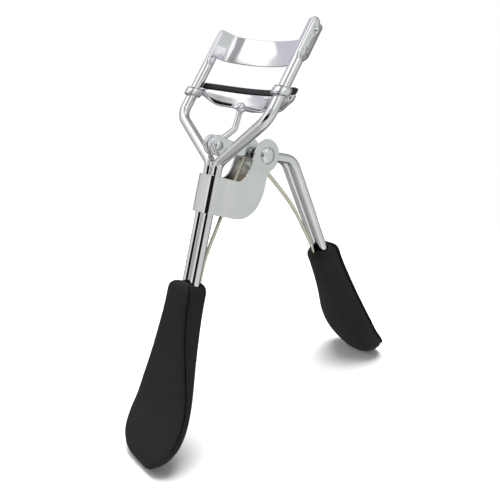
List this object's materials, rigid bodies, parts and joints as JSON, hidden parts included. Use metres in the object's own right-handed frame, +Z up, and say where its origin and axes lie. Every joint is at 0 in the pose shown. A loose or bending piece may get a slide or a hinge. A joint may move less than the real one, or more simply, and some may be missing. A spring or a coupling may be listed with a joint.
{
  "type": "eyelash curler",
  "caption": "Sprung eyelash curler: curved upper jaw on a forked wire frame, sliding rubber-padded lower jaw, crank lever, hairpin spring and two soft grips.",
  "frame": {"origin": "on the surface that the curler stands on, under the middle of its bounding box", "axes": "+Z up, +Y from the fixed handle towards the lever, +X across the jaws; XZ is not a mirror plane, YZ is"},
  "size_m": [0.0394, 0.1044, 0.1128],
  "materials": {
    "frame_chrome": "polished",
    "jaw_chrome": "polished sheet",
    "housing_chrome": "polished sheet",
    "spring_steel": "drawn wire",
    "grip_shell": "soft touch",
    "pad_rubber": "moulded"
  },
  "bodies": {
    "frame": {"frame_wire_left": "frame_chrome", "frame_wire_right": "frame_chrome", "upper_jaw": "jaw_chrome", "upper_jaw_rivet_left": "frame_chrome", "upper_jaw_rivet_right": "frame_chrome", "pivot_housing": "housing_chrome", "pivot_rivet": "housing_chrome", "front_grip_outer": "grip_shell", "front_grip_inner": "grip_shell", "return_spring": "spring_steel"},
    "lever": {"lever_wire_left": "frame_chrome", "lever_wire_right": "frame_chrome", "crank_pin": "frame_chrome", "rear_grip_outer": "grip_shell", "rear_grip_inner": "grip_shell"},
    "lower_jaw": {"lower_jaw_channel": "jaw_chrome", "rubber_pad": "pad_rubber", "guide_eye_left": "jaw_chrome", "guide_eye_right": "jaw_chrome", "jaw_lug": "jaw_chrome"},
    "push_link": {"push_link": "frame_chrome"}
  },
  "joints": [
    {"name": "lever_pivot", "type": "hinge", "parent": "frame", "child": "lever", "pos_m": [0, -0.00764, 0.07936], "axis": [-1, 0, 0], "range_deg": [0, 29.5], "stiffness_Nm_per_rad": 0.25, "springref_deg": -20.05, "deforming": ["return_spring"]},
    {"name": "jaw_slide", "type": "slide", "parent": "frame", "child": "lower_jaw", "axis": [0, 0.57, 0.8216], "range_m": [0, 0.00725]},
    {"name": "link_swing", "type": "hinge", "parent": "lower_jaw", "child": "push_link", "pos_m": [0, -0.01367, 0.09191], "axis": [-1, 0, 0], "range_deg": [-1, 5]}
  ],
  "couplings": [
    {"joint": "jaw_slide", "follows": "lever_pivot", "m_per_rad": 0.01398},
    {"joint": "link_swing", "follows": "lever_pivot", "ratio": 0.125}
  ]
}
